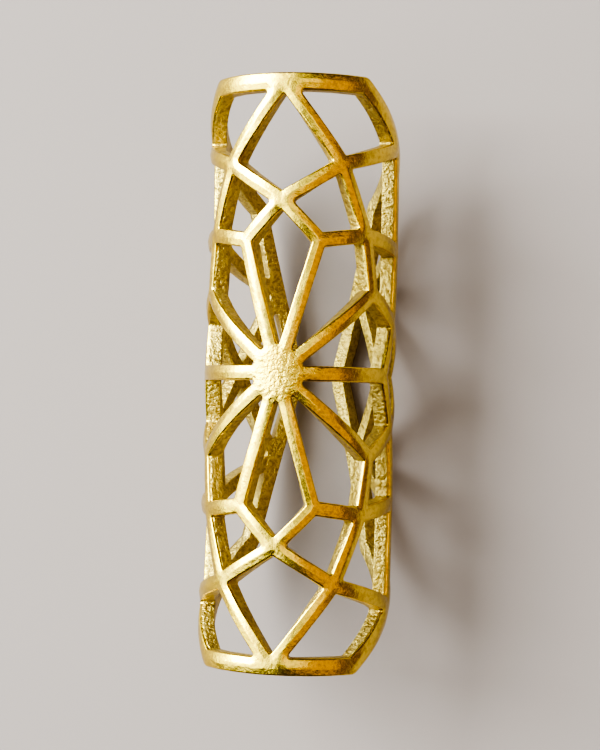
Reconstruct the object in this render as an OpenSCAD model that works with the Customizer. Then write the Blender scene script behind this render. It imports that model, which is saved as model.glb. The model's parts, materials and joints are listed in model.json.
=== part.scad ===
// Openwork cuff for a dreadlock: one brass casting, a tube pierced with a ten-fold star.
//
// The star is laid out flat. Its x runs round the tube and its y along it, with the hub at 0, 0.
// It is then rolled round the tube, so every pierced wall points straight at the tube's axis.
// The tube lies along Y with the hub on top, at +Z. The gap is below, and its two corners are
// what the cuff rests on. The origin is on that surface, under the middle of the cuff.

/* [Tube] */
// Length of the cuff over its two end rims
cuff_len = 33.1; // [28:0.1:40]
// Outside diameter
tube_d = 11; // [9:0.1:15]
// Thickness of the metal, measured straight out from the axis
wall_t = 0.95; // [0.6:0.05:1.4]
// Width of the gap along the back, where its two corners face each other
gap_w = 2.2; // [1:0.1:5]

/* [Strips] */
// Width of the strips of the star
strip_w = 0.84; // [0.6:0.01:0.95]
// Width of the frame strip round the star, which is also the two end rims
frame_w = 0.97; // [0.7:0.01:1.1]

/* [Star] */
// Length of a ray, as a share of the distance from the hub to a side of the frame
ray_share = 0.482; // [0.46:0.001:0.5]
// Distance from the hub to the tips of the kites between the rays, as the same kind of share
tip_share = 0.596; // [0.58:0.001:0.62]
// Distance from the hub to the crossings between the kites and the frame, likewise
crossing_share = 0.76; // [0.74:0.001:0.78]

/* [Corners] */
// Radius inside the corners of the pierced windows
window_round = 0.12; // [0.06:0.01:0.16]
// Radius on the outside of the frame's corners
frame_round = 0.8; // [0.3:0.05:1]
// Radius on the outside of the frame's two corners beside the gap, which the cuff rests on
rest_round = 3; // [1.5:0.1:4]

/* [Hidden] */

rays = 10;
turn = 360 / rays;             // from one ray to the next
half_turn = turn / 2;
tube_r = tube_d / 2;
bore_r = tube_r - wall_t;
frame_r = (cuff_len - frame_w) / 2;      // hub to the middle of a frame side
ray_r = frame_r * ray_share;
tip_r = frame_r * tip_share;
crossing_r = frame_r * crossing_share;
corner_r = frame_r / cos(half_turn);     // hub to a corner of the frame
corner_cut = 1 / cos(half_turn) - 1;     // what a rounding takes off a frame corner, for a radius of 1

// How far the flat pattern reaches round the back, and how much narrower it is rolled to leave the gap
reach = (frame_r + frame_w / 2) / cos(half_turn) - rest_round * corner_cut;
squeeze = (PI * tube_r - gap_w / 2) / reach;
// Height of the axis above the surface that the two corners beside the gap rest on
axis_z = -tube_r * cos(gap_angle(reach));

over = 0.8;          // how far a cutter runs past the metal
lead_in = 0.2;       // how far past an end rim that cutter keeps the slope of the rim's corner
arc_steps = 3;       // chords to a small round corner
rest_steps = 6;      // chords to each corner beside the gap
chord_turn = 9;      // degrees round the tube that one straight chord may span
back_steps = 10;     // columns of the cutter that opens the back
tube_sides = 180;    // sides of the tube in a preview
seam_turn = 90;      // puts the seam of the tube's two cylinders in the gap, where there is no metal

// Angle round the tube, from the top, of a flat distance x
function gap_angle(x) = x * squeeze / tube_r * 180 / PI;

// A flat point at distance r from the hub, at angle a from the direction along the tube
function at(r, a) = [r * sin(a), r * cos(a)];

// A flat point rolled onto a cylinder of radius r
function rolled(p, r) = [r * sin(gap_angle(p.x)), p.y, r * cos(gap_angle(p.x))];

// Unit vector to the right of a direction, which is into a window drawn clockwise
function right_of(d) = [d.y, -d.x] / norm(d);

// Where the line through p along d meets the line through q along e
function meet(p, d, q, e) = p + d * cross(q - p, e) / cross(d, e);

// Corner b of a clockwise outline a-b-c whose sides move in by wa and wc
function moved_in(a, b, c, wa, wc) =
    meet(b + right_of(b - a) * wa, b - a, b + right_of(c - b) * wc, c - b);

function turned(v, a) = [v.x * cos(a) - v.y * sin(a), v.x * sin(a) + v.y * cos(a)];

// Points of an arc of radius r in the corner b between a and c
function arc_at(a, b, c, r, steps) =
    let (to_a = (a - b) / norm(a - b),
         to_c = (c - b) / norm(c - b),
         half = acos(to_a * to_c) / 2,
         centre = b + (to_a + to_c) / norm(to_a + to_c) * r / sin(half),
         first = b + to_a * r / tan(half) - centre,
         sweep = (180 - 2 * half) * sign(cross(to_c, to_a)))
    [for (i = [0:steps]) centre + turned(first, sweep * i / steps)];

// A run of points with its long chords divided, so that they follow the tube
function divided(points, closed = true) =
    let (n = len(points), last = closed ? n - 1 : n - 2)
    [for (i = [0:last])
        let (p = points[i],
             q = points[(i + 1) % n],
             parts = max(1, ceil(gap_angle(abs(q.x - p.x)) / chord_turn)))
        for (k = [0:parts - 1]) p + (q - p) * k / parts,
     if (!closed) points[n - 1]];

// Outline of a window with four corners. widths[i] is the metal's half width beside side i,
// which runs from corner i to the next, and rounds[i] is the radius in corner i.
function window_outline(corners, widths, rounds) =
    let (inner = [for (i = [0:3])
            moved_in(corners[(i + 3) % 4], corners[i], corners[(i + 1) % 4],
                     widths[(i + 3) % 4], widths[i])])
    divided([for (i = [0:3])
        each arc_at(inner[(i + 3) % 4], inner[i], inner[(i + 1) % 4], rounds[i], arc_steps)]);

function total(points, i = 0) = i == len(points) - 1 ? points[i] : points[i] + total(points, i + 1);

// Cuts one window, with walls that point at the axis
module window(corners, widths, rounds) {
    outline = window_outline(corners, widths, rounds);
    n = len(outline);
    middle = total(outline) / n;
    points = [
        for (p = outline) rolled(p, tube_r + over),
        for (p = outline) rolled(p, bore_r - over),
        rolled(middle, tube_r + over),
        rolled(middle, bore_r - over)
    ];
    faces = [
        for (i = [0:n - 1])
            let (j = (i + 1) % n)
            each [[i, j, 2 * n], [n + j, n + i, 2 * n + 1], [i, n + i, j], [j, n + i, n + j]]
    ];
    polyhedron(points, faces);
}

// The windows between the hub and the tips: one kite between each two rays
module kites() {
    thin = strip_w / 2;
    for (k = [0:rays - 1]) {
        a = k * turn;
        window([[0, 0], at(ray_r, a - half_turn), at(tip_r, a), at(ray_r, a + half_turn)],
               [thin, thin, thin, thin],
               [window_round, window_round, window_round, window_round]);
    }
}

// The small windows past the end of each ray, between two kites and a crossing
module small_diamonds() {
    thin = strip_w / 2;
    for (k = [0:rays - 1]) {
        a = k * turn + half_turn;
        window([at(ray_r, a), at(tip_r, a - half_turn), at(crossing_r, a), at(tip_r, a + half_turn)],
               [thin, thin, thin, thin],
               [window_round, window_round, window_round, window_round]);
    }
}

// The large windows between a kite's tip and the middle of a frame side
module large_diamonds() {
    thin = strip_w / 2;
    for (k = [0:rays - 1]) {
        a = k * turn;
        window([at(tip_r, a), at(crossing_r, a - half_turn), at(frame_r, a),
                at(crossing_r, a + half_turn)],
               [thin, thin, thin, thin],
               [window_round, window_round, window_round, window_round]);
    }
}

// The windows in the corners of the frame. Beside the gap the corner follows the frame's own rounding.
module corner_windows() {
    thin = strip_w / 2;
    thick = frame_w / 2;
    for (k = [0:rays - 1]) {
        a = k * turn + half_turn;
        beside_gap = a == 90 || a == 270;
        inner_round = beside_gap ? rest_round - frame_w : window_round;
        window([at(crossing_r, a), at(frame_r, a - half_turn), at(corner_r, a),
                at(frame_r, a + half_turn)],
               [thin, thick, thick, thin],
               [window_round, window_round, inner_round, window_round]);
    }
}

// Outer edge of the frame from the top end down to the middle of the back, on the right
function outer_edge() =
    let (r = (frame_r + frame_w / 2) / cos(half_turn),
         top = at(r, -half_turn),
         c = [for (k = [0:3]) at(r, half_turn + k * turn)],
         end_arc = arc_at(top, c[0], c[1], frame_round, arc_steps),
         slope = end_arc[0] - end_arc[1],
         above = end_arc[0] + slope * lead_in / slope.y,
         side_arc = arc_at(c[0], c[1], c[2], frame_round, arc_steps),
         rest_arc = arc_at(c[1], c[2], c[3], rest_round, rest_steps))
    concat([[above.x, above.y + over], above],
           [for (i = [1:arc_steps]) end_arc[i]],
           side_arc,
           [for (i = [0:rest_steps / 2]) rest_arc[i]]);

// Opens the back: all of the tube outside the frame, from the right edge round to the left
module open_back() {
    half = outer_edge();
    n = len(half);
    edge = divided(concat(half, [for (i = [n - 2:-1:0]) [half[i].x, -half[i].y]]), closed = false);
    rows = len(edge);
    columns = back_steps + 1;
    layer = rows * columns;
    points = [
        for (r = [tube_r + over, bore_r - over], p = edge, j = [0:back_steps])
            let (start = gap_angle(p.x), a = start + (360 - 2 * start) * j / back_steps)
            [r * sin(a), p.y, r * cos(a)]
    ];
    faces = [
        for (i = [0:rows - 2], j = [0:back_steps - 1])
            let (a = i * columns + j, b = a + 1, c = a + columns, d = c + 1)
            each [[a, b, c], [b, d, c], [layer + a, layer + c, layer + b], [layer + b, layer + c, layer + d]],
        for (i = [0:rows - 2])
            let (a = i * columns, c = a + columns, b = a + back_steps, d = b + columns)
            each [[a, c, layer + a], [c, layer + c, layer + a], [b, layer + b, d], [d, layer + b, layer + d]],
        for (j = [0:back_steps - 1])
            let (a = j, b = a + 1, c = (rows - 1) * columns + j, d = c + 1)
            each [[a, layer + a, b], [b, layer + a, layer + b], [c, d, layer + c], [d, layer + d, layer + c]]
    ];
    polyhedron(points, faces);
}

module along_y(h, r) {
    rotate([-90, 0, 0])
        rotate([0, 0, seam_turn])
            translate([0, 0, -h / 2])
                cylinder(h = h, r = r, $fn = tube_sides);
}

module openwork_cuff() {
    color("#c9a227")
        translate([0, 0, axis_z])
            difference() {
                along_y(cuff_len, tube_r);
                along_y(cuff_len + 2 * over, bore_r);
                kites();
                small_diamonds();
                large_diamonds();
                corner_windows();
                open_back();
            }
}

openwork_cuff();
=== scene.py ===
import json
import math

import bpy
from mathutils import Matrix, Vector


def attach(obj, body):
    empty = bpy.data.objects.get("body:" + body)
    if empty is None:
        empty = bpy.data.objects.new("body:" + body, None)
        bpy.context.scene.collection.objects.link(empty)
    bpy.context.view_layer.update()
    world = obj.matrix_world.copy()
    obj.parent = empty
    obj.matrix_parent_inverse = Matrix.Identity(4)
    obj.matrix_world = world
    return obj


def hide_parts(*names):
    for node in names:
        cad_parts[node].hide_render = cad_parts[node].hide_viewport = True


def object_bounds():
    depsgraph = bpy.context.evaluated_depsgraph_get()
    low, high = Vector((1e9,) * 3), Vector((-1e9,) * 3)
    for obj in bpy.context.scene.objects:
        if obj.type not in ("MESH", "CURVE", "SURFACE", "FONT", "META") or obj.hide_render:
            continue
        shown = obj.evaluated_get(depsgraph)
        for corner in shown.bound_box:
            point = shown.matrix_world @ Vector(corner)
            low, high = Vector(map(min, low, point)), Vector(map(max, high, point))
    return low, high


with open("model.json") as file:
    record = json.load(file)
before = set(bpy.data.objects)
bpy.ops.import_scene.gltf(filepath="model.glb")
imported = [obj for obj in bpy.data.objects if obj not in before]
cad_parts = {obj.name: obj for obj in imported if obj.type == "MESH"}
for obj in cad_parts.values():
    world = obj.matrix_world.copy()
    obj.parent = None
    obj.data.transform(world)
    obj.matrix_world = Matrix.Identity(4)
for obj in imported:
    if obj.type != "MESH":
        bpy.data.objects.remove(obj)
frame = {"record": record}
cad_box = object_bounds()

# Openwork dreadlock bead: one brass casting, a tube pierced with a ten-fold star.
# Lengths below are in millimetres, and MM turns them into the scene's metres.
MM = 0.001

# The tube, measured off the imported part
low, high = cad_box
bore = next(m for m in frame["record"]["mounts"] if m["name"] == "hair_bore")
TUBE_R = (high.x - low.x) / 2 / MM
CUFF_LEN = (high.y - low.y) / MM
BORE_R = bore["dims"]["r_mm"]
AXIS_Z = bore["pos_m"][2] / MM
WALL_T = TUBE_R - BORE_R

# The star, in the part's own sizes
RAYS = 10
TURN = 360 / RAYS
STRIP_W = 0.84
FRAME_W = 0.97
GAP_W = 2.2
RAY_SHARE = 0.482
TIP_SHARE = 0.596
CROSSING_SHARE = 0.76
WINDOW_ROUND = 0.12
FRAME_ROUND = 0.8
REST_ROUND = 3.0

FRAME_R = (CUFF_LEN - FRAME_W) / 2
RAY_R = FRAME_R * RAY_SHARE
TIP_R = FRAME_R * TIP_SHARE
CROSSING_R = FRAME_R * CROSSING_SHARE
COS_HALF = math.cos(math.radians(TURN / 2))
CORNER_R = FRAME_R / COS_HALF
OUTER_R = (FRAME_R + FRAME_W / 2) / COS_HALF
REACH = OUTER_R - REST_ROUND * (1 / COS_HALF - 1)
SQUEEZE = (math.pi * TUBE_R - GAP_W / 2) / REACH

# How the wall is finished: the outer face falls a little from a crest along the middle of each
# strip, its edges are tumbled round, and the bore's edges are hardly broken
CREST_IN = 0.4
CREST_FALL = 0.055
OUTER_EDGE = 0.11
BORE_EDGE = 0.07

# How finely the mesh is drawn: steps round each edge and corner, the distance between points
# along an outline, the disc that gives the hub points of its own, and how near points are welded
OUTER_EDGE_STEPS = 4
BORE_EDGE_STEPS = 3
WINDOW_STEPS = 5
FRAME_STEPS = 8
POINT_SPACING = 0.3
HUB_DISC = 0.7
HUB_DISC_POINTS = 20
WELD = 0.002

# Unevenness of a hand-finished casting: how far the metal strays, over what distance, and the
# seed that picks the pattern
WOBBLE = 0.05
WOBBLE_SIZE = 7.0
FILE_MARKS = 0.02
FILE_MARKS_SIZE = 1.1
SEED = 7

# What the surface shows, by its size across: the grain of the mould, the soft hollows and the
# marks that polishing leaves, and patches of a slightly different yellow. Real polishing marks
# are too fine to show, so they are drawn coarser.
GRAIN_SIZE = 0.22
HOLLOWS_SIZE = 0.8
POLISH_MARKS_SIZE = 0.09
PATCHES_SIZE = 2.5

# How deep these are: the grain on the walls, on the hub and on the strips, then what polishing
# leaves
WALL_GRAIN = 0.16
HUB_GRAIN = 0.07
STRIP_GRAIN = 0.016
HOLLOWS = 0.03
POLISH_MARKS = 0.004

# How far from its middle the hub keeps all of its grain, and where the last of it has gone
HUB_GRAIN_WHOLE = 1.2
HUB_GRAIN_GONE = 1.9

# How far below the outer face the polish is whole, where the last of it has gone, and how much
# and over what distance that edge strays
POLISH_WHOLE = 0.14
POLISH_GONE = 0.30
RAGGED = 0.16
RAGGED_SIZE = 0.5

# The pits of the grain begin and are deepest at these shares of its height, and this much of
# their brown shows as cast and where polished
PITS_FROM = 0.6
PITS_TO = 0.32
PITS_AS_CAST = 0.6
PITS_POLISHED = 0.35

# Roughness, least and most, as cast and where polished
MATT = (0.3, 0.54)
BRIGHT = (0.15, 0.3)


def at(r, a):
    """A flat point at distance r from the hub, a degrees clockwise from along the tube."""
    return Vector((r * math.sin(math.radians(a)), r * math.cos(math.radians(a))))


def meet(p, d, q, e):
    """Where the line through p along d meets the line through q along e."""
    return p + d * ((q - p).cross(e) / d.cross(e))


def moved_in(corners, widths):
    """A clockwise outline whose side i, from corner i to the next, moves in by widths[i]."""
    count = len(corners)
    moved = []
    for i in range(count):
        before, here, after = corners[i - 1], corners[i], corners[(i + 1) % count]
        d, e = here - before, after - here
        p = here + Vector((d.y, -d.x)).normalized() * widths[i - 1]
        q = here + Vector((e.y, -e.x)).normalized() * widths[i]
        moved.append(meet(p, d, q, e))
    return moved


def master_windows():
    """One window of each of the four kinds, as a mesh of bare edges, flat."""
    half = TURN / 2
    thin = [STRIP_W / 2] * 4
    kinds = [
        ([Vector((0, 0)), at(RAY_R, -half), at(TIP_R, 0), at(RAY_R, half)], thin),
        ([at(RAY_R, half), at(TIP_R, 0), at(CROSSING_R, half), at(TIP_R, TURN)], thin),
        ([at(TIP_R, 0), at(CROSSING_R, -half), at(FRAME_R, 0), at(CROSSING_R, half)], thin),
        ([at(CROSSING_R, half), at(FRAME_R, 0), at(CORNER_R, half), at(FRAME_R, TURN)],
         [STRIP_W / 2, FRAME_W / 2, FRAME_W / 2, STRIP_W / 2]),
    ]
    points, edges = [], []
    for corners, widths in kinds:
        first = len(points)
        points += [(p.x, p.y, 0) for p in moved_in(corners, widths)]
        edges += [(first + i, first + (i + 1) % 4) for i in range(4)]
    mesh = bpy.data.meshes.new("master_windows")
    mesh.from_pydata(points, edges, [])
    return mesh


def quarter(r, steps):
    """Points of a quarter of a circle of radius r, from the face to the upright wall."""
    turns = [math.radians(90 * i / steps) for i in range(steps + 1)]
    return [(r * (1 - math.sin(t)), r * (1 - math.cos(t))) for t in turns]


def section_curve():
    """The finished wall as an open curve, from the bore up.

    Its x is into the metal and its y down from the outer face.
    """
    down_the_slope = (0, 0.15, 0.5)
    down_the_wall = (0.33, 0.67)
    slope = CREST_IN - OUTER_EDGE
    crest = [(CREST_IN - slope * share, CREST_FALL * share) for share in down_the_slope]
    edge = [(x, CREST_FALL + y) for x, y in quarter(OUTER_EDGE, OUTER_EDGE_STEPS)]
    foot = [(x, WALL_T - y) for x, y in quarter(BORE_EDGE, BORE_EDGE_STEPS)]
    wall_top = CREST_FALL + OUTER_EDGE
    wall = WALL_T - BORE_EDGE - wall_top
    between = [(0, wall_top + wall * share) for share in down_the_wall]
    section = foot + between[::-1] + edge[::-1] + crest[::-1]
    curve = bpy.data.curves.new("edge_section", "CURVE")
    curve.dimensions = "2D"
    spline = curve.splines.new("POLY")
    spline.points.add(len(section) - 1)
    for point, (inward, below) in zip(spline.points, section):
        point.co = (inward, below, 0, 1)
    return bpy.data.objects.new("edge_section", curve)


def add(tree, kind, inputs=None, **settings):
    """Adds a node and makes its settings.

    Each of its inputs takes a plain value, a link, or a list of links where it can hold several.
    An input or output goes by its name, or by its number where several have the same name.
    """
    made = tree.nodes.new(kind)
    for name, value in settings.items():
        setattr(made, name, value)
    for key, value in (inputs or {}).items():
        if isinstance(value, bpy.types.NodeSocket):
            value = [value]
        if isinstance(value, list):
            for link in value:
                tree.links.new(link, made.inputs[key])
        else:
            made.inputs[key].default_value = value
    return made


def cuff_tree(material):
    """The nodes that make the pierced tube.

    They repeat the windows round the hub, sweep their walls, close the faces and roll the result.
    """
    tree = bpy.data.node_groups.new("pierced_cuff", "GeometryNodeTree")
    for name, kind, value in [
        ("Windows", "NodeSocketGeometry", None),
        ("Edge section", "NodeSocketObject", None),
        ("Rays", "NodeSocketInt", RAYS),
        ("Frame corner radius", "NodeSocketFloat", OUTER_R),
        ("Window rounding", "NodeSocketFloat", WINDOW_ROUND),
        ("Frame rounding", "NodeSocketFloat", FRAME_ROUND),
        ("Rest rounding", "NodeSocketFloat", REST_ROUND),
        ("Frame width", "NodeSocketFloat", FRAME_W),
        ("Point spacing", "NodeSocketFloat", POINT_SPACING),
        ("Hub disc", "NodeSocketFloat", HUB_DISC),
        ("Wall thickness", "NodeSocketFloat", WALL_T),
        ("Cuff length", "NodeSocketFloat", CUFF_LEN),
        ("Tube radius", "NodeSocketFloat", TUBE_R),
        ("Axis height", "NodeSocketFloat", AXIS_Z),
        ("Squeeze", "NodeSocketFloat", SQUEEZE),
        ("Hand wobble", "NodeSocketFloat", WOBBLE),
        ("File marks", "NodeSocketFloat", FILE_MARKS),
        ("Seed", "NodeSocketInt", SEED),
    ]:
        made = tree.interface.new_socket(name=name, in_out="INPUT", socket_type=kind)
        if value is not None:
            made.default_value = value
    tree.interface.new_socket(name="Cuff", in_out="OUTPUT", socket_type="NodeSocketGeometry")
    given = add(tree, "NodeGroupInput").outputs

    # Where each point is. Every step reads this from the shape as it is by then.
    place = add(tree, "GeometryNodeInputPosition").outputs[0]
    flat = add(tree, "ShaderNodeSeparateXYZ", {"Vector": place}).outputs

    # The four windows, once for each ray
    index = add(tree, "GeometryNodeInputIndex").outputs[0]
    turn = add(tree, "ShaderNodeMath", {0: math.tau, 1: given["Rays"]}, operation="DIVIDE").outputs[0]
    turned = add(tree, "ShaderNodeMath", {0: index, 1: turn}, operation="MULTIPLY").outputs[0]
    about_hub = add(tree, "ShaderNodeCombineXYZ", {"Z": turned}).outputs[0]
    hubs = add(tree, "GeometryNodePoints", {"Count": given["Rays"]}).outputs[0]
    outlines = add(tree, "GeometryNodeMeshToCurve", {"Mesh": given["Windows"]}).outputs[0]
    repeated = add(tree, "GeometryNodeInstanceOnPoints",
                   {"Points": hubs, "Instance": outlines, "Rotation": about_hub}).outputs[0]
    windows = add(tree, "GeometryNodeRealizeInstances", {"Geometry": repeated}).outputs[0]

    # Round their corners. The outer corner beside the gap follows the frame's own rounding.
    out_x = add(tree, "ShaderNodeMath", {0: flat["X"]}, operation="ABSOLUTE").outputs[0]
    beside_gap = add(tree, "ShaderNodeMath", {0: out_x, 1: FRAME_R},
                     operation="GREATER_THAN").outputs[0]
    rest_inside = add(tree, "ShaderNodeMath", {0: given["Rest rounding"], 1: given["Frame width"]},
                      operation="SUBTRACT").outputs[0]
    window_radius = add(tree, "GeometryNodeSwitch",
                        {"Switch": beside_gap, "False": given["Window rounding"],
                         "True": rest_inside},
                        input_type="FLOAT").outputs[0]
    windows = add(tree, "GeometryNodeFilletCurve",
                  {"Curve": windows, "Radius": window_radius, "Count": WINDOW_STEPS,
                   "Limit Radius": True}, mode="POLY").outputs[0]

    # The frame's outer edge
    ring = add(tree, "GeometryNodeCurvePrimitiveCircle",
               {"Resolution": given["Rays"], "Radius": given["Frame corner radius"]},
               mode="RADIUS").outputs[0]
    frame_radius = add(tree, "GeometryNodeSwitch",
                       {"Switch": beside_gap, "False": given["Frame rounding"],
                        "True": given["Rest rounding"]},
                       input_type="FLOAT").outputs[0]
    ring = add(tree, "GeometryNodeFilletCurve",
               {"Curve": ring, "Radius": frame_radius, "Count": FRAME_STEPS,
                "Limit Radius": True}, mode="POLY").outputs[0]

    # Divide the long sides, so that they bend round the tube
    edges = add(tree, "GeometryNodeJoinGeometry", {"Geometry": [windows, ring]}).outputs[0]
    following = add(tree, "GeometryNodeOffsetPointInCurve", {"Offset": 1}).outputs["Point Index"]
    next_place = add(tree, "GeometryNodeFieldAtIndex", {"Index": following, "Value": place},
                     data_type="FLOAT_VECTOR", domain="POINT").outputs[0]
    stretch = add(tree, "ShaderNodeVectorMath", {0: place, 1: next_place},
                  operation="DISTANCE").outputs["Value"]
    spacings = add(tree, "ShaderNodeMath", {0: stretch, 1: given["Point spacing"]},
                   operation="DIVIDE").outputs[0]
    cuts = add(tree, "ShaderNodeMath", {0: spacings}, operation="FLOOR").outputs[0]
    edges = add(tree, "GeometryNodeSubdivideCurve", {"Curve": edges, "Cuts": cuts}).outputs[0]
    edges = add(tree, "GeometryNodeReverseCurve", {"Curve": edges}).outputs[0]

    # Sweep the finished edge along every outline, with the metal on its right
    outer_face = add(tree, "ShaderNodeCombineXYZ", {"Z": given["Wall thickness"]}).outputs[0]
    edges = add(tree, "GeometryNodeSetPosition", {"Geometry": edges, "Offset": outer_face}).outputs[0]
    edges = add(tree, "GeometryNodeSetCurveNormal", {"Curve": edges}, mode="Z_UP").outputs[0]
    section = add(tree, "GeometryNodeObjectInfo", {"Object": given["Edge section"]}).outputs["Geometry"]
    walls = add(tree, "GeometryNodeCurveToMesh",
                {"Curve": edges, "Profile Curve": section, "Fill Caps": False}).outputs[0]

    # Close the outer face and the bore's face between the walls. A disc in the hub gives it
    # points of its own, so that it follows the tube. An edge with one face is on a rim, and the
    # Compare node's inputs 2 and 3 are the ones for whole numbers.
    faces = add(tree, "GeometryNodeInputMeshEdgeNeighbors").outputs[0]
    rim = add(tree, "FunctionNodeCompare", {2: faces, 3: 1},
              data_type="INT", operation="EQUAL").outputs[0]
    disc = add(tree, "GeometryNodeMeshCircle",
               {"Vertices": HUB_DISC_POINTS, "Radius": given["Hub disc"]},
               fill_type="TRIANGLE_FAN").outputs[0]
    middle = add(tree, "ShaderNodeMath", {0: given["Wall thickness"], 1: 0.5},
                 operation="MULTIPLY").outputs[0]
    surfaces = [walls]
    for side, height in (("GREATER_THAN", given["Wall thickness"]), ("LESS_THAN", 0.0)):
        here = add(tree, "ShaderNodeMath", {0: flat["Z"], 1: middle}, operation=side).outputs[0]
        chosen = add(tree, "FunctionNodeBooleanMath", {0: rim, 1: here}, operation="AND").outputs[0]
        wall_rim = add(tree, "GeometryNodeMeshToCurve", {"Mesh": walls, "Selection": chosen}).outputs[0]
        disc_rim = add(tree, "GeometryNodeMeshToCurve", {"Mesh": disc, "Selection": rim}).outputs[0]
        rims = add(tree, "GeometryNodeJoinGeometry", {"Geometry": [wall_rim, disc_rim]}).outputs[0]
        filled = add(tree, "GeometryNodeFillCurve", {"Curve": rims}, mode="TRIANGLES").outputs[0]
        sheet = add(tree, "GeometryNodeJoinGeometry", {"Geometry": [filled, disc]}).outputs[0]
        level = add(tree, "ShaderNodeCombineXYZ", {"Z": height}).outputs[0]
        sheet = add(tree, "GeometryNodeSetPosition", {"Geometry": sheet, "Offset": level}).outputs[0]
        if side == "LESS_THAN":
            sheet = add(tree, "GeometryNodeFlipFaces", {"Mesh": sheet}).outputs[0]
        surfaces.append(sheet)
    solid = add(tree, "GeometryNodeJoinGeometry", {"Geometry": surfaces}).outputs[0]
    solid = add(tree, "GeometryNodeMergeByDistance",
                {"Geometry": solid, "Distance": WELD}).outputs[0]

    # Unevenness of a hand-finished casting, kept inside the part's true size. Noise runs from 0
    # to 1, so it is centred and doubled to reach the full amount each way.
    for amount, size in ((given["Hand wobble"], WOBBLE_SIZE), (given["File marks"], FILE_MARKS_SIZE)):
        noise = add(tree, "ShaderNodeTexNoise",
                    {"Vector": place, "W": given["Seed"], "Scale": 1 / size, "Detail": 1.0},
                    noise_dimensions="4D").outputs["Color"]
        centred = add(tree, "ShaderNodeVectorMath", {0: noise, 1: (0.5, 0.5, 0.5)},
                      operation="SUBTRACT").outputs[0]
        doubled = add(tree, "ShaderNodeMath", {0: amount, 1: 2.0}, operation="MULTIPLY").outputs[0]
        moved = add(tree, "ShaderNodeVectorMath", {0: centred, "Scale": doubled},
                    operation="SCALE").outputs[0]
        solid = add(tree, "GeometryNodeSetPosition", {"Geometry": solid, "Offset": moved}).outputs[0]
    top_end = add(tree, "ShaderNodeMath", {0: given["Cuff length"], 1: 0.5},
                  operation="MULTIPLY").outputs[0]
    bottom_end = add(tree, "ShaderNodeMath", {0: top_end, 1: -1.0}, operation="MULTIPLY").outputs[0]
    below_top = add(tree, "ShaderNodeMath", {0: flat["Y"], 1: top_end}, operation="MINIMUM").outputs[0]
    along = add(tree, "ShaderNodeMath", {0: below_top, 1: bottom_end}, operation="MAXIMUM").outputs[0]
    above_bore = add(tree, "ShaderNodeMath", {0: flat["Z"], 1: given["Wall thickness"]},
                     operation="MINIMUM").outputs[0]

    # Roll it round the tube
    bore_radius = add(tree, "ShaderNodeMath", {0: given["Tube radius"], 1: given["Wall thickness"]},
                      operation="SUBTRACT").outputs[0]
    radius = add(tree, "ShaderNodeMath", {0: bore_radius, 1: above_bore}, operation="ADD").outputs[0]
    round_tube = add(tree, "ShaderNodeMath", {0: flat["X"], 1: given["Squeeze"]},
                     operation="MULTIPLY").outputs[0]
    angle = add(tree, "ShaderNodeMath", {0: round_tube, 1: given["Tube radius"]},
                operation="DIVIDE").outputs[0]
    sine = add(tree, "ShaderNodeMath", {0: angle}, operation="SINE").outputs[0]
    cosine = add(tree, "ShaderNodeMath", {0: angle}, operation="COSINE").outputs[0]
    across = add(tree, "ShaderNodeMath", {0: radius, 1: sine}, operation="MULTIPLY").outputs[0]
    above_axis = add(tree, "ShaderNodeMath", {0: radius, 1: cosine}, operation="MULTIPLY").outputs[0]
    above_floor = add(tree, "ShaderNodeMath", {0: given["Axis height"], 1: above_axis},
                      operation="ADD").outputs[0]
    rolled = add(tree, "ShaderNodeCombineXYZ",
                 {"X": across, "Y": along, "Z": above_floor}).outputs[0]
    in_metres = add(tree, "ShaderNodeVectorMath", {0: rolled, "Scale": MM},
                    operation="SCALE").outputs[0]
    solid = add(tree, "GeometryNodeSetPosition", {"Geometry": solid, "Position": in_metres}).outputs[0]
    solid = add(tree, "GeometryNodeSetShadeSmooth",
                {"Geometry": solid, "Shade Smooth": True}).outputs[0]
    solid = add(tree, "GeometryNodeRealizeInstances", {"Geometry": solid}).outputs[0]
    solid = add(tree, "GeometryNodeSetMaterial", {"Geometry": solid, "Material": material}).outputs[0]
    add(tree, "NodeGroupOutput", {"Cuff": solid})
    return tree


def openwork_cuff_casting(material):
    """The cuff as a plain mesh, worked out by the node tree."""
    section = section_curve()
    pattern = bpy.data.objects.new("window_pattern", master_windows())
    for helper in (section, pattern):
        bpy.context.scene.collection.objects.link(helper)
    tree = cuff_tree(material)
    modifier = pattern.modifiers.new("pierced_cuff", "NODES")
    modifier.node_group = tree
    ids = {s.name: s.identifier for s in tree.interface.items_tree if s.in_out == "INPUT"}
    modifier[ids["Edge section"]] = section
    evaluated = pattern.evaluated_get(bpy.context.evaluated_depsgraph_get())
    mesh = bpy.data.meshes.new_from_object(evaluated)
    pattern.modifiers.remove(modifier)
    for helper in (section, pattern):
        bpy.data.objects.remove(helper)
    mesh.name = "openwork_cuff_casting"
    cuff = bpy.data.objects.new("openwork_cuff_casting", mesh)
    bpy.context.scene.collection.objects.link(cuff)
    return cuff


def linear(hex_colour):
    """An sRGB hex value as the linear colour that a shader wants."""
    values = [int(hex_colour[i:i + 2], 16) / 255 for i in (1, 3, 5)]
    red, green, blue = [v / 12.92 if v <= 0.04045 else ((v + 0.055) / 1.055) ** 2.4 for v in values]
    return (red, green, blue, 1.0)


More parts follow.
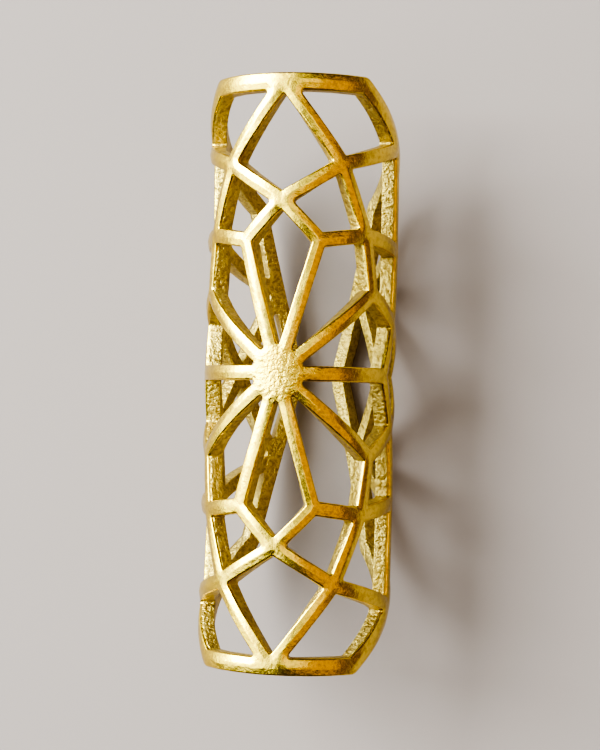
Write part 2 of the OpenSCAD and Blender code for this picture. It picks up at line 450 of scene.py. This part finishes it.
def cast_brass():
    """Lost-wax cast brass, tumbled and polished.

    The outside shines, with soft hollows. The pierced walls and the bore, which the polishing
    didn't reach, are matt and keep the grain of the mould.
    """
    material = bpy.data.materials.new("cast_brass")
    material.use_nodes = True
    tree = material.node_tree
    tree.nodes.clear()

    # Object coordinates, in millimetres from the tube's axis
    coordinates = add(tree, "ShaderNodeTexCoord").outputs["Object"]
    place = add(tree, "ShaderNodeMapping", {"Vector": coordinates, "Location": (0, 0, -AXIS_Z),
                                            "Scale": (1 / MM, 1 / MM, 1 / MM)}).outputs[0]
    axes = add(tree, "ShaderNodeSeparateXYZ", {"Vector": place}).outputs
    x_squared, z_squared = [
        add(tree, "ShaderNodeMath", {0: axes[name], 1: axes[name]}, operation="MULTIPLY").outputs[0]
        for name in ("X", "Z")]
    squared = add(tree, "ShaderNodeMath", {0: x_squared, 1: z_squared}, operation="ADD").outputs[0]
    from_axis = add(tree, "ShaderNodeMath", {0: squared}, operation="SQRT").outputs[0]

    # Noise: its size across, how many finer layers it has, and how strong they are
    noise = {}
    for name, size, layers, strength in [
        ("edge", RAGGED_SIZE, 2.0, 0.5),
        ("grain", GRAIN_SIZE, 3.0, 0.6),
        ("hollows", HOLLOWS_SIZE, 2.0, 0.5),
        ("marks", POLISH_MARKS_SIZE, 2.0, 0.5),
        ("patches", PATCHES_SIZE, 3.0, 0.5),
    ]:
        noise[name] = add(tree, "ShaderNodeTexNoise",
                          {"Vector": place, "Scale": 1 / size, "Detail": layers,
                           "Roughness": strength}).outputs["Fac"]

    # How polished a place is: 1 on the outer face, 0 on the walls and in the bore
    centred = add(tree, "ShaderNodeMath", {0: noise["edge"], 1: 0.5}, operation="SUBTRACT").outputs[0]
    ragged = add(tree, "ShaderNodeMath", {0: centred, 1: RAGGED}, operation="MULTIPLY").outputs[0]
    reached = add(tree, "ShaderNodeMath", {0: from_axis, 1: ragged}, operation="ADD").outputs[0]
    polish = add(tree, "ShaderNodeMapRange",
                 {"Value": reached, "From Min": TUBE_R - POLISH_GONE,
                  "From Max": TUBE_R - POLISH_WHOLE}, interpolation_type="SMOOTHSTEP").outputs[0]

    # Relief: the grain of the mould on the walls, and what polishing leaves of it outside. The
    # hub keeps more of its grain than the strips.
    from_hub = add(tree, "ShaderNodeVectorMath", {0: place, 1: (0, 0, TUBE_R)},
                   operation="DISTANCE").outputs["Value"]
    hub = add(tree, "ShaderNodeMapRange",
              {"Value": from_hub, "From Min": HUB_GRAIN_GONE, "From Max": HUB_GRAIN_WHOLE},
              interpolation_type="SMOOTHSTEP").outputs[0]
    kept = add(tree, "ShaderNodeMix", {"Factor": hub, "A": STRIP_GRAIN, "B": HUB_GRAIN},
               data_type="FLOAT").outputs["Result"]
    as_moulded, worn, dips, scratches = [
        add(tree, "ShaderNodeMath", {0: noise[name], 1: depth}, operation="MULTIPLY").outputs[0]
        for name, depth in (("grain", WALL_GRAIN), ("grain", kept), ("hollows", HOLLOWS),
                            ("marks", POLISH_MARKS))]
    by_polishing = add(tree, "ShaderNodeMath", {0: dips, 1: scratches}, operation="ADD").outputs[0]
    outside = add(tree, "ShaderNodeMath", {0: worn, 1: by_polishing}, operation="ADD").outputs[0]
    relief = add(tree, "ShaderNodeMix", {"Factor": polish, "A": as_moulded, "B": outside},
                 data_type="FLOAT").outputs["Result"]
    bump = add(tree, "ShaderNodeBump",
               {"Height": relief, "Distance": MM, "Strength": 1.0}).outputs[0]

    # Colour: yellow metal, duller where it is as cast, and browner in the pits of its grain. A Mix
    # node's inputs 6 and 7 and its output 2 are the ones for colours.
    pits = add(tree, "ShaderNodeMapRange",
               {"Value": noise["grain"], "From Min": PITS_FROM, "From Max": PITS_TO},
               interpolation_type="SMOOTHSTEP").outputs[0]
    as_cast = add(tree, "ShaderNodeMix",
                  {"Factor": noise["patches"], 6: linear("#AC9040"), 7: linear("#E4CE84")},
                  data_type="RGBA").outputs[2]
    polished = add(tree, "ShaderNodeMix",
                   {"Factor": noise["patches"], 6: linear("#DEB848"), 7: linear("#E8CF64")},
                   data_type="RGBA").outputs[2]
    clean = add(tree, "ShaderNodeMix", {"Factor": polish, 6: as_cast, 7: polished},
                data_type="RGBA").outputs[2]
    share = add(tree, "ShaderNodeMix", {"Factor": polish, "A": PITS_AS_CAST, "B": PITS_POLISHED},
                data_type="FLOAT").outputs["Result"]
    browned = add(tree, "ShaderNodeMath", {0: pits, 1: share}, operation="MULTIPLY").outputs[0]
    colour = add(tree, "ShaderNodeMix", {"Factor": browned, 6: clean, 7: linear("#7A5A26")},
                 data_type="RGBA").outputs[2]

    # Roughness: matt as cast, bright where polished
    matt = add(tree, "ShaderNodeMapRange",
               {"Value": noise["grain"], "To Min": MATT[0], "To Max": MATT[1]}).outputs[0]
    bright = add(tree, "ShaderNodeMapRange",
                 {"Value": noise["hollows"], "To Min": BRIGHT[0], "To Max": BRIGHT[1]}).outputs[0]
    roughness = add(tree, "ShaderNodeMix", {"Factor": polish, "A": matt, "B": bright},
                    data_type="FLOAT").outputs["Result"]
    shader = add(tree, "ShaderNodeBsdfPrincipled",
                 {"Base Color": colour, "Metallic": 1.0, "Roughness": roughness, "Normal": bump})
    add(tree, "ShaderNodeOutputMaterial", {"Surface": shader.outputs[0]})
    return material


def pale_floor():
    """A plain pale floor of matt card, 8 metres across, so that it fills every view."""
    material = bpy.data.materials.new("pale_card")
    material.use_nodes = True
    shader = material.node_tree.nodes["Principled BSDF"]
    shader.inputs["Base Color"].default_value = linear("#887B80")
    shader.inputs["Roughness"].default_value = 0.8
    mesh = bpy.data.meshes.new("floor")
    reach = 4.0
    corners = [(-reach, -reach, 0), (reach, -reach, 0), (reach, reach, 0), (-reach, reach, 0)]
    mesh.from_pydata(corners, [], [(0, 1, 2, 3)])
    mesh.materials.append(material)
    floor = bpy.data.objects.new("floor", mesh)
    bpy.context.scene.collection.objects.link(floor)


def facing(place, target):
    """The matrix of a light or camera at a place that looks at a target, with its top towards +Y."""
    back = (place - target).normalized()
    right = Vector((0, 1, 0)).cross(back).normalized()
    turned = Matrix((right, back.cross(right), back)).transposed().to_4x4()
    return Matrix.Translation(place) @ turned


def soft_light(name, place, size, power, colour):
    """A soft box that points at the cuff. Its place and size are in millimetres, its power in watts."""
    lamp = bpy.data.lights.new(name, "AREA")
    lamp.shape = "RECTANGLE"
    lamp.size, lamp.size_y = size[0] * MM, size[1] * MM
    lamp.energy = power
    lamp.color = linear(colour)[:3]
    made = bpy.data.objects.new(name, lamp)
    bpy.context.scene.collection.objects.link(made)
    made.matrix_world = facing(Vector(place) * MM, Vector((0, 0, AXIS_Z)) * MM)


def studio():
    """Soft light, most of it from the left.

    The left light is wide, and brighter in a core towards the top end. A weak pale light stands
    above and weak warm ones on the right, in a dim room.
    """
    soft_light("key", (-486, 135, 429), (1065, 960), 11.5, "#F2FFEC")
    soft_light("core", (-470, 235, 408), (440, 420), 14.0, "#F0FFF2")
    soft_light("top", (120, 110, 548), (280, 400), 0.42, "#F6FFE4")
    soft_light("fill", (390, 0, 460), (620, 640), 0.9, "#FFD28A")
    soft_light("low", (560, -60, 150), (330, 1000), 0.14, "#FFC486")
    world = bpy.data.worlds.new("room")
    world.use_nodes = True
    world.node_tree.nodes["Background"].inputs["Color"].default_value = linear("#8A7050")
    world.node_tree.nodes["Background"].inputs["Strength"].default_value = 0.2
    bpy.context.scene.world = world
    bpy.context.scene.view_settings.view_transform = "AgX"
    bpy.context.scene.view_settings.look = "AgX - High Contrast"


def photo_camera():
    """Looks down at the cuff from where the photograph's camera stood.

    That comes from a fit of the star's crossings: the distance is in millimetres, and the other
    three are degrees. The lens is long, so that the bead fills the frame.
    """
    middle = Vector((0, 0, AXIS_Z))
    distance, to_right, to_top, lean = 108.0, 13.5, -1.0, 1.4
    right, top = math.radians(to_right), math.radians(to_top)
    back = Vector((math.sin(right) * math.cos(top), math.sin(top), math.cos(right) * math.cos(top)))
    data = bpy.data.cameras.new("camera")
    data.lens = 90
    data.clip_start, data.clip_end = 0.005, 10
    camera = bpy.data.objects.new("camera", data)
    bpy.context.scene.collection.objects.link(camera)
    camera.matrix_world = facing((middle + back * distance) * MM, middle * MM) @ Matrix.Rotation(
        math.radians(lean), 4, "Z")
    bpy.context.scene.camera = camera


cuff = openwork_cuff_casting(cast_brass())
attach(cuff, "root")
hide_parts("openwork_cuff")
pale_floor()
studio()
photo_camera()
